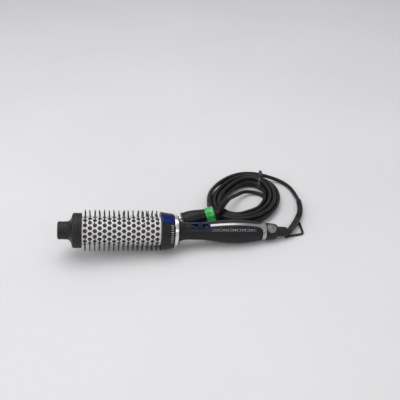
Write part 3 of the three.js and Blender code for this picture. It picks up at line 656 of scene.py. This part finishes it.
def build_tie():
    """A nylon tie drawn tight round the bundle: a flat band, its locking head and the cut end of its tail."""
    turn = math.radians(TIE["turn"])
    outward, along = Vector((math.cos(turn), math.sin(turn), 0)), Vector((math.sin(turn), -math.cos(turn), 0))
    centre = Vector((TIE["x"], TIE["y"], 0))
    strands = []
    line = coil_line()
    for one, two in zip(line, line[1:]):
        a, b = (one - centre).dot(along), (two - centre).dot(along)
        if a * b < 0:
            point = one.lerp(two, a / (a - b)) - centre
            if abs(point.dot(outward)) < 26:
                strands.append((point.dot(outward), point.z))
    ring = [math.radians(15 * k) for k in range(24)]
    around = [
        (x + (CORD_RADIUS + 0.05) * math.cos(a), max(z + (CORD_RADIUS + 0.05) * math.sin(a), 0.1))
        for x, z in strands for a in ring
    ]
    edge = [Vector((x, 0, z)) for x, z in hull(around)]
    middle = sum(edge, Vector()) / len(edge)
    band = bmesh.new()
    rows = []
    for i, spot in enumerate(edge):
        step = (edge[(i + 1) % len(edge)] - edge[i - 1]).normalized()
        out = Vector((step.z, 0, -step.x))
        if out.dot(spot - middle) < 0:
            out = -out
        rows.append([
            band.verts.new(
                centre + outward * (spot.x + out.x * lift) + Vector((0, 0, max(spot.z + out.z * lift, 0.05)))
                + along * side * TIE["width"] / 2
            )
            for side, lift in ((-1, 0), (-0.92, TIE["thick"]), (0.92, TIE["thick"]), (1, 0))
        ])
    for one, two in zip(rows, rows[1:] + rows[:1]):
        bridge(band, one, two)
    top = max(z for _, z in around)
    reach = max(x for x, z in around if z > top - 1.5)
    stand = (
        Matrix.Translation(centre + outward * (reach - 0.5) + Vector((0, 0, top + 0.3)))
        @ Matrix.Rotation(turn, 4, "Z") @ Matrix.Rotation(math.radians(18), 4, "Y")
    )
    head = pad(0, 3.6, 3.9, 1.1, [(0.5, -0.4), (0, 0.2), (0, 4.9), (0.7, 5.7)], on_axis_plane)
    head.transform(stand)
    tail = pad(1.0, 0.75, 2.3, 0.3, [(0.1, 2), (0, 2.3), (0, 8.6), (0.25, 9)], on_axis_plane)
    tail.transform(stand @ Matrix.Rotation(math.radians(-14), 4, "Y"))
    return piece("nylon_tie", merged(band, head, tail), "cord_end", "nylon_black", ["cable_tie"], ON_BENCH)


relief, plug_relief = build_cord_guards()
plug, plug_contacts, tape_band = build_plug()
tie = build_tie()


# ---------------------------------------------------------------- brush head
def build_barrel():
    """A thin tube whose skin is a lattice of cells with a round, softly edged hole in each."""
    bm = bmesh.new()
    per_side = 6
    half_cell = HOLES["pitch"] / 2
    half_turn = math.pi / HOLES["around"]
    square = []
    for side in range(4):
        for k in range(per_side):
            t = 2 * k / per_side - 1
            square.append([(t, -1), (1, t), (-t, 1), (-1, -t)][side])
    outer, inner, lip, hole_radius = BARREL["outer"], BARREL["inner"], BARREL["lip"], HOLES["radius"]
    # rings round a hole, from the skin inwards: (radius or None for the cell's edge, distance from the axis)
    rings = [
        (None, outer), (hole_radius + 0.22, outer), (hole_radius + 0.08, outer - 0.05),
        (hole_radius + 0.01, outer - 0.15), (hole_radius, outer - 0.3), (hole_radius, inner), (None, inner),
    ]

    def corner(station, angle, radius):
        return bm.verts.new((station, -radius * math.cos(angle), radius * math.sin(angle)))

    for column in range(HOLES["columns"]):
        station = (column - (HOLES["columns"] - 1) / 2) * HOLES["pitch"]
        for place in range(HOLES["around"]):
            angle = math.radians(HOLES["angle"]) + (place + column % 2 / 2) * 2 * half_turn
            rows = []
            for hole, radius in rings:
                row = []
                for x, y in square:
                    if hole is None:
                        row.append(corner(station + x * half_cell, angle + y * half_turn, radius))
                        continue
                    way = math.atan2(y, x)
                    turn = angle + hole * math.sin(way) / outer
                    row.append(corner(station + hole * math.cos(way), turn, radius))
                rows.append(row)
            for one, two in zip(rows, rows[1:]):
                bridge(bm, one, two)

    edge = HOLES["columns"] / 2 * HOLES["pitch"]
    around = HOLES["around"] * per_side
    for sign, end in ((-1, -BARREL["start"]), (1, BARREL["end"])):
        profile = [
            (edge, outer), (end - 0.9, outer), (end - 0.7, lip), (end - 0.25, lip), (end, outer - 0.1),
            (end, inner + 0.15), (end - 0.2, inner), (edge, inner),
        ]
        turns = [math.radians(HOLES["angle"]) + 2 * math.pi * i / around for i in range(around)]
        rows = [[corner(sign * s, a, r) for a in turns] for s, r in profile]
        for one, two in zip(rows, rows[1:]):
            bridge(bm, one, two)
    bmesh.ops.remove_doubles(bm, verts=bm.verts, dist=0.01)
    piece("perforated_barrel", bm, "brush_head", "ceramic_white", ["barrel"], sharp=40)


def build_pins():
    """Eight comb strips inside the barrel, each a curved plate with two staggered rows of ball-ended pins."""
    rng = random.Random(7)
    step = 360 / HOLES["around"]
    length = PIN["end"] - STRIP["outer"] + 0.6
    profile = [(0, 0), (0, PIN["root"]), (length * 0.5, PIN["middle"]), (length - 1.5, PIN["tip"])]
    profile += [
        (length - PIN["ball"] + PIN["ball"] * math.sin(a), PIN["ball"] * math.cos(a))
        for a in [math.radians(d) for d in (-45, -15, 20, 50, 75)]
    ]
    profile.append((length, 0))
    for number in range(STRIP["count"]):
        middle = HOLES["angle"] + (number * 2 + 0.75) * step
        bm = bmesh.new()
        for column in range(HOLES["columns"]):
            for row in range(HOLES["around"] // STRIP["count"]):
                angle = HOLES["angle"] + (number * 2 + row + column % 2 / 2) * step
                station = (column - (HOLES["columns"] - 1) / 2) * HOLES["pitch"]
                lean = [math.radians(rng.uniform(-PIN["lean"], PIN["lean"])) for _ in range(2)]
                height = 0.5 + 0.5 * math.sin(math.radians(angle))
                quiet = 0.15 + 0.85 * height
                pin = turned(profile, 12)
                pin.transform(
                    Matrix.Rotation(math.radians(90 - angle), 4, "X")
                    @ Matrix.Translation((station, 0, STRIP["outer"] - 0.6))
                    @ Matrix.Rotation(lean[0] * quiet, 4, "Y") @ Matrix.Rotation(lean[1] * quiet, 4, "X")
                    @ Matrix.Rotation(-math.pi / 2, 4, "Y")
                )
                mesh = bpy.data.meshes.new("pin")
                pin.to_mesh(mesh)
                pin.free()
                bm.from_mesh(mesh)
                bpy.data.meshes.remove(mesh)
        reach = 360 / STRIP["count"] / 2 - 1.2
        rows = []
        for s in (-STRIP["end"], STRIP["end"]):
            row = []
            for radius, way in ((STRIP["outer"], 1), (STRIP["inner"], -1)):
                for k in range(11):
                    a = math.radians(middle + way * reach * (k / 5 - 1))
                    row.append(bm.verts.new((s, -radius * math.cos(a), radius * math.sin(a))))
            rows.append(row)
        bridge(bm, *rows)
        for row in rows:
            for k in range(10):
                bm.faces.new((row[k], row[k + 1], row[20 - k], row[21 - k]))
        piece(f"comb_strip_{number + 1}", bm, "brush_head", "nylon_black", [f"bristle_strip_{number + 1}"])


def build_tip():
    knob = turned(rounded([
        (-89.5, 0), (-89.5, 12.9, 2.6), (-82, 12.7), (-75.2, 13.0), (-75.2, 5, 0.5), (-62, 5, 0.5), (-62, 0),
    ], 8))
    piece("cool_tip", knob, "brush_head", "matte_black", ["tip_knob"])
    flare = turned(rounded([
        (-74.9, 13.1), (-73.2, 14.1, 1), (-71.2, 16.4, 2), (-69.7, 19.8, 1.5), (-69.2, 22.8, 1.2),
        (-68.2, 24.6, 1.4), (-66, 25.1, 1.5), (-60.9, 25.1), (-60.7, 24.7), (-60.1, 24.7), (-59.9, 25.1),
        (-55.7, 25.1, 0.6), (-55.7, 19.8), (-53.2, 19.8, 0.3), (-53.2, 18.3), (-58, 18.3), (-66, 15),
        (-70, 5.3), (-74.9, 5.3),
    ]))
    piece("tip_flare", flare, "brush_head", "matte_black", ["tip_collar"])


def collar_radius(station):
    share = (station - COLLAR["start"] - 2.4) / (COLLAR["end"] - COLLAR["start"] - 2.4)
    return COLLAR["front"] + (COLLAR["back"] - COLLAR["front"]) * min(max(share, 0), 1)


def build_collar():
    body = turned(rounded([
        (COLLAR["start"], COLLAR["lip"], 0.6), (COLLAR["start"] + 1.7, COLLAR["lip"], 0.5),
        (COLLAR["start"] + 2.3, COLLAR["front"], 0.3), (66, 26.4), (COLLAR["end"], COLLAR["back"], 0.5),
        (COLLAR["end"], COLLAR["bore"]), (62, COLLAR["bore"]), (62, 17.2), (53.2, 17.2), (53.2, 19.8),
        (COLLAR["start"], 19.8),
    ]), 128)
    half_length, half_width = BUTTON["length"] / 2 + 0.35, BUTTON["width"] / 2 + 0.35
    open_end = 1.1
    floor_and_top = [(0, 20.1), (0, 32)]
    pocket = pad(
        BUTTON["middle"] + open_end, half_length + open_end, half_width, 2.4, floor_and_top, on_axis_plane,
    )
    dimple = turned([(24, 0), (24, 1.3), (30, 1.3), (30, 0)], 24)
    dimple.transform(Matrix.Translation((62.8, 0, 0)) @ Matrix.Rotation(-math.pi / 2, 4, "Y"))
    collar = carved(body, at_angle(pocket, BUTTON["angle"]), at_angle(dimple, -42))
    piece("release_collar", collar, "brush_head", "gloss_black", ["head_collar"])

    def height(station, across):
        return math.sqrt((collar_radius(station) + 0.55) ** 2 - across ** 2)

    loops = [(0.3, -2.3), (0, -2.1), (0, -0.35), (0.12, -0.12), (0.4, 0), (1.2, 0.02)]
    loops += [(inset, 0.03) for inset in (2.4, 4, 6, 7.6)]
    key = at_angle(
        pad(BUTTON["middle"], BUTTON["length"] / 2, BUTTON["width"] / 2, 2.2, loops, height), BUTTON["angle"],
    )
    piece("release_key", key, "release_button", "blue_chrome", ["release_button"])


def build_marks():
    """Plain tick marks printed where a maker's lettering would be."""
    ticks = []
    for k in range(9):
        a = 52 - 7.2 * k
        tick = pad(71.8, 1.5 if k % 3 else 2.1, 0.45, 0.2, [(0, -0.3), (0, 0.05)], over(collar_radius))
        ticks.append(at_angle(tick, a))
    piece("collar_ticks", merged(*ticks), "brush_head", "badge_metal", material=PRINT)
    ticks = []
    for k in range(26):
        long = 2.1 if k % 5 == 0 else 1.5
        tick = pad(131 + 2.6 * k, 0.5, long, 0.25, [(0, -0.3), (0, 0.05)], over(handle_radius))
        ticks.append(at_angle(tick, CONTROL_ANGLE - 32))
    piece("handle_ticks", merged(*ticks), "handle", "badge_metal", material=PRINT)


# ---------------------------------------------------------------- handle
REAR_CORNER = 7.0


def rear_edge(arc):
    """How far the rounded panel corner draws the rear edge forward, at a distance from the trim strip."""
    inside = REAR_CORNER - min(max(arc, 0), REAR_CORNER)
    return REAR_CORNER - math.sqrt(REAR_CORNER ** 2 - inside ** 2)


def rear_draw(offset):
    """The same at an angle from the control line, in degrees."""
    return rear_edge(abs(math.radians(offset)) * HANDLE["rear"] - TRIM["width"] / 2 - 0.5)


def half_shell(facing):
    """One half of the handle casing: a grid of stations by angles, with an outer and an inner skin."""
    bm = bmesh.new()
    stations = [81.3, 81.45, 81.8, 82.2, 82.45, 82.7, 83.0, 83.4, 83.9, 84.6, 85.6, 86.8, 88.2, 90, 92.4]
    stations += [95 + 2.5 * k for k in range(42)]
    stations += [198.9, 200.3, 201.7, 203.1, 204.5, 205.9, 207.2, 207.7]
    count = 64
    angles = [-89.55, -89.2, *[-88.4 + 176.8 * k / count for k in range(count + 1)], 89.2, 89.55]
    front_round = {81.3: 0.35, 81.45: 0.1}
    seam_round = {89.55: 0.28, 89.2: 0.08}
    drawn_from = 196.5

    def point(station, offset, depth):
        share = max(station - drawn_from, 0) / (HANDLE["end"] - drawn_from)
        s = station - share * (rear_draw(offset) if facing > 0 else 0)
        r = handle_radius(s) - depth
        a = math.radians(CONTROL_ANGLE + offset + (0 if facing > 0 else 180))
        return bm.verts.new((s, -r * math.cos(a), r * math.sin(a)))

    rows = []
    for station in stations:
        row = [
            point(station, offset, front_round.get(station, 0) + seam_round.get(abs(offset), 0))
            for offset in angles
        ]
        row += [point(station, offset, HANDLE["wall"]) for offset in reversed(angles)]
        rows.append(row)
    for one, two in zip(rows, rows[1:]):
        bridge(bm, one, two)
    half = len(angles)
    for row in (rows[0], rows[-1]):
        for k in range(half - 1):
            bm.faces.new((row[k], row[k + 1], row[2 * half - 2 - k], row[2 * half - 1 - k]))
    return bm


def build_casing():
    depth_and_top = [(0, -1.2), (0, 3)]
    groove = pad(
        GROOVE["middle"], GROOVE["half"], GROOVE["width"] / 2, 0.6, depth_and_top, over(handle_radius),
    )
    half_length, half_width = SWITCH["length"] / 2 + 0.2, SWITCH["width"] / 2 + 0.2
    recess = pad(SWITCH["middle"], half_length, half_width, half_width, [(0, 11.4), (0, 20)], on_axis_plane)
    slot = pad(SWITCH["middle"], 8.5, 1.8, 1.8, [(0, 8), (0, 20)], on_axis_plane)
    cutters = [at_angle(cutter, CONTROL_ANGLE) for cutter in (groove, recess, slot)]
    upper = carved(half_shell(1), *cutters)
    piece("casing_upper", upper, "handle", "gloss_black", ["handle_upper_shell"], sharp=35)
    wells = []
    for station in SCREW_STATIONS:
        floor = handle_radius(station) - 1.35
        well = turned([(floor, 0), (floor, 2.8), (22, 2.8), (22, 0)], 32)
        well.transform(Matrix.Translation((station, 0, 0)) @ Matrix.Rotation(-math.pi / 2, 4, "Y"))
        wells.append(at_angle(well, CONTROL_ANGLE + 180))
    lower = carved(half_shell(-1), *wells)
    piece("casing_lower", lower, "handle", "gloss_black", ["handle_lower_shell"], sharp=35)


def build_trim():
    """The bright strip that follows the handle's curve in steps of 2 mm, and the band at its end."""
    lowest, steps = -0.95, 39
    loops = [(0.2, lowest), (0, -0.8), (0, -0.1), (0.15, 0.12), (0.5, 0.2), (1.2, 0.26), (2.2, TRIM["proud"])]
    surface = over(handle_radius)
    strip = pad(TRIM["middle"], TRIM["half"], TRIM["width"] / 2, 0.5, loops, surface)
    for k in range(steps):
        bmesh.ops.bisect_plane(
            strip, geom=[*strip.verts, *strip.edges, *strip.faces],
            plane_co=(TRIM["middle"] - (steps - 1) + 2 * k, 0, 0), plane_no=(1, 0, 0),
        )
    front, rear = 129, 207.4
    for vert in strip.verts:
        if abs(vert.co.x - TRIM["middle"]) < TRIM["half"] - 0.5:
            near, far = surface(front, vert.co.y), surface(rear, vert.co.y)
            straight = near + (far - near) * (vert.co.x - front) / (rear - front)
            rise = min(max(vert.co.z - straight, lowest), TRIM["proud"])
            vert.co.z = surface(vert.co.x, vert.co.y) + rise
    strip = at_angle(strip, CONTROL_ANGLE)
    # the strip takes the darker trim finish, whose low tone is painted shade for the chrome's dark
    # reflections
    piece("chrome_strip", strip, "handle", "chrome_trim", ["trim_strip"], material=BRUSHED_PAINTED_SHADE)

    profile = [
        (0, -1.8), (0, -0.25), (0.03, -0.05), (0.1, 0.05), (0.3, 0.06), (0.6, 0.06), (0.9, 0.05),
        (0.97, -0.02), (1, -0.2), (1, -1.8),
    ]
    bm = bmesh.new()
    sides = 192
    rows = []
    for share, lift in profile:
        row = []
        for i in range(sides):
            offset = 360 * i / sides - 180
            start = BAND["start"] - (rear_draw(offset) if abs(offset) < 88 else 0)
            station = start + (BAND["end"] - start) * share
            if station < HANDLE["end"]:
                r = handle_radius(station)
            else:
                r = BAND["radius"] - (station - BAND["start"]) * BAND["taper"]
            a = math.radians(CONTROL_ANGLE + offset)
            row.append(bm.verts.new((station, -(r + lift) * math.cos(a), (r + lift) * math.sin(a))))
        rows.append(row)
    for one, two in zip(rows, rows[1:] + rows[:1]):
        bridge(bm, one, two)
    # the band takes the same darker trim finish, whose low tone is painted shade for the chrome's dark
    # reflections
    piece("chrome_band", bm, "handle", "chrome_trim", ["rear_band"], material=BRUSHED_PAINTED_SHADE)


def build_ring():
    ring = turned(rounded([
        (RING["start"], RING["bore"]), (RING["start"], 23.5, 0.5), (RING["start"] + 0.7, RING["outer"], 0.6),
        (RING["end"] - 1.6, RING["outer"], 0.9), (RING["end"] - 0.6, 23.2, 0.4), (RING["end"] - 0.6, 22.6),
        (RING["end"], 22.6), (RING["end"], RING["bore"]),
    ], 6), 128)
    piece("polished_ring", ring, "handle", "chrome_trim", ["chrome_ring"])


def build_switch():
    middle, floor = SWITCH["middle"], SWITCH["floor"]
    half_length, half_width = SWITCH["length"] / 2, SWITCH["width"] / 2
    loops = [
        (0, floor), (0, 13.2), (0.2, 13.75), (0.6, 14.0), (1.05, 13.95), (1.6, 13.3), (1.9, 12.4),
        (1.95, floor),
    ]
    bezel = pad(middle, half_length, half_width, half_width, loops, on_axis_plane, ring=True)
    bezel = at_angle(bezel, CONTROL_ANGLE)
    piece("switch_surround", bezel, "handle", "blue_chrome", ["switch_bezel"])
    plate = pad(middle, 3.6, 2.45, 1.2, [(0.3, floor + 0.05), (0, 12), (0, 13), (0.35, 13.4)], on_axis_plane)
    stem = pad(middle, 2.4, 1.5, 0.4, [(0, 9.8), (0, 12)], on_axis_plane)
    ribs = [
        pad(middle + s, 0.45, 2.1, 0.3, [(0, 13.1), (0, 13.8), (0.2, 14.2)], on_axis_plane)
        for s in (-2.7, -0.9, 0.9, 2.7)
    ]
    thumb = at_angle(merged(plate, stem, *ribs), CONTROL_ANGLE)
    piece("switch_thumb", thumb, "switch_slider", "matte_black", ["switch_slider"])


CAP_OUTLINE = [
    (213.9, 13.1), (218, 12.85), (222, 12.5), (226, 12.0), (229, 11.4), (231.6, 10.4), (232.9, 8.8),
]


def cap_radius(station):
    return between(CAP_OUTLINE, station)


def build_cap():
    skin = [(213.9, 12.75), (214.2, 13.05)]
    skin += [(s, cap_radius(s)) for s in range(216, 230, 2)]
    skin += [(229, 11.4), (230.4, 10.95), (231.6, 10.3), (232.4, 9.5), (232.9, 8.6)]
    body = turned([*skin, (232.9, 5.6), (231.2, 5.6), (231.2, 8.4), (228, 9.3), (213.9, 11)], 128)
    vents = []
    for k in range(6):
        vent = pad(222, 5, 0.9, 0.9, [(0, 6), (0, 16)], on_axis_plane)
        vents.append(at_angle(vent, -70 - 17 * k))
    rim = BADGE["radius"] + 0.15
    seat = pad(BADGE["middle"], rim, rim, rim, [(0, -0.85), (0, 3)], over(cap_radius))
    cap = carved(body, *vents, at_angle(seat, BADGE["angle"]))
    piece("end_cap", cap, "handle", "gloss_black", ["rear_cap"])
    loops = [
        (0, -0.8), (0, 0.05), (0.15, 0.25), (0.55, 0.3), (0.95, 0.25), (1.1, 0.0), (1.6, -0.02), (3.2, -0.02),
        (4.6, -0.02), (5.0, 0.18), (5.4, 0.22), (6.2, 0.22),
    ]
    badge = pad(BADGE["middle"], BADGE["radius"], BADGE["radius"], BADGE["radius"], loops, over(cap_radius))
    piece("ring_badge", at_angle(badge, BADGE["angle"]), "handle", "badge_metal", ["badge"])


def build_sleeve():
    sleeve = turned(rounded([
        (226.6, 7.8), (230.7, 7.8), (230.7, 5.2), (233.3, 5.2), (233.3, 7.6, 0.5), (238, 7.5), (238.3, 7.2),
        (238.9, 7.2), (239.2, 7.45), (245.5, 7.2, 2), (248.3, 6.0, 1.2), (248.3, 3.1), (226.6, 3.1),
    ]), 96)
    piece("swivel_socket", sleeve, "cord_end", "matte_black", ["swivel_sleeve"])
    corners = rounded([(246.5, -1.2, 5), (274.2, 3.0, 4.5), (276.4, 33.5, 4.5)], 8)
    line = smooth_line([(x, y, 1.9) for x, y in [*corners, corners[0]]], 0.8)[:-1]
    loop = swept(line, lambda d: 1.7, 16, closed=True)
    lug = pad(0, 3.2, 2.0, 1.4, [(0.3, 0.4), (0, 0.8), (0, 4.6), (0.4, 5.2)], on_axis_plane)
    lug.transform(Matrix.Translation((247.2, -0.9, 0)))
    piece("wall_loop", merged(loop, lug), "cord_end", "matte_black", ["hanging_loop"], ON_BENCH)


build_barrel()
build_pins()
build_tip()
build_collar()
build_marks()
build_casing()
build_trim()
build_ring()
build_switch()
build_cap()
build_sleeve()

# the CAD solids that stay in view take the finish of their slot
for row in frame["record"]["subparts"]:
    node = frame["nodes"][row["node"]]
    node.data.materials.clear()
    node.data.materials.append(SLOT_FINISH[row["material_slot"]])

# ---------------------------------------------------------------- stage and light
FLOOR = finish("floor_paint", (0.76, 0.75, 0.755), (0.79, 0.785, 0.79), (0.55, 0.7), patch=0.4, grain=0.004)


def build_floor():
    """A level floor that curves up into a backdrop far behind the object."""
    bm = bmesh.new()
    width, front, back, radius = 6.0, -3.0, 2.2, 1.2
    profile = [(front, 0.0), (back, 0.0)]
    profile += [
        (back + radius * math.sin(a), radius - radius * math.cos(a))
        for a in [math.radians(7.5 * k) for k in range(1, 13)]
    ]
    profile.append((back + radius, 4.0))
    rows = [[bm.verts.new((x, y, z)) for x in (-width, width)] for y, z in profile]
    for one, two in zip(rows, rows[1:]):
        bm.faces.new((one[0], one[1], two[1], two[0]))
    mesh = bpy.data.meshes.new("floor")
    bm.to_mesh(mesh)
    bm.free()
    mesh.shade_smooth()
    mesh.materials.append(FLOOR)
    floor = bpy.data.objects.new("floor", mesh)
    bpy.context.scene.collection.objects.link(floor)


def soft_light(name, place, target, size, power, warmth=(1, 1, 1)):
    light = bpy.data.lights.new(name, "AREA")
    light.shape = "RECTANGLE"
    light.size, light.size_y = size
    light.energy = power
    light.color = warmth
    obj = bpy.data.objects.new(name, light)
    obj.location = place
    obj.rotation_euler = (Vector(target) - Vector(place)).to_track_quat("-Z", "Y").to_euler()
    bpy.context.scene.collection.objects.link(obj)
    obj.visible_camera = False


build_floor()
soft_light("top_softbox", (-0.25, 0.25, 1.7), (0, 0, 0), (1.9, 1.3), 13.5)
soft_light("left_softbox", (-1.6, -0.5, 0.9), (-0.05, 0, 0.03), (0.9, 0.9), 6)
soft_light("front_card", (0.3, -1.7, 1.3), (0, 0, 0.02), (1.4, 0.5), 3.2)
world = bpy.data.worlds.new("studio")
world.use_nodes = True
world.node_tree.nodes["Background"].inputs["Color"].default_value = (0.93, 0.93, 0.95, 1)
world.node_tree.nodes["Background"].inputs["Strength"].default_value = 0.6
bpy.context.scene.view_settings.view_transform = "Standard"
bpy.context.scene.world = world
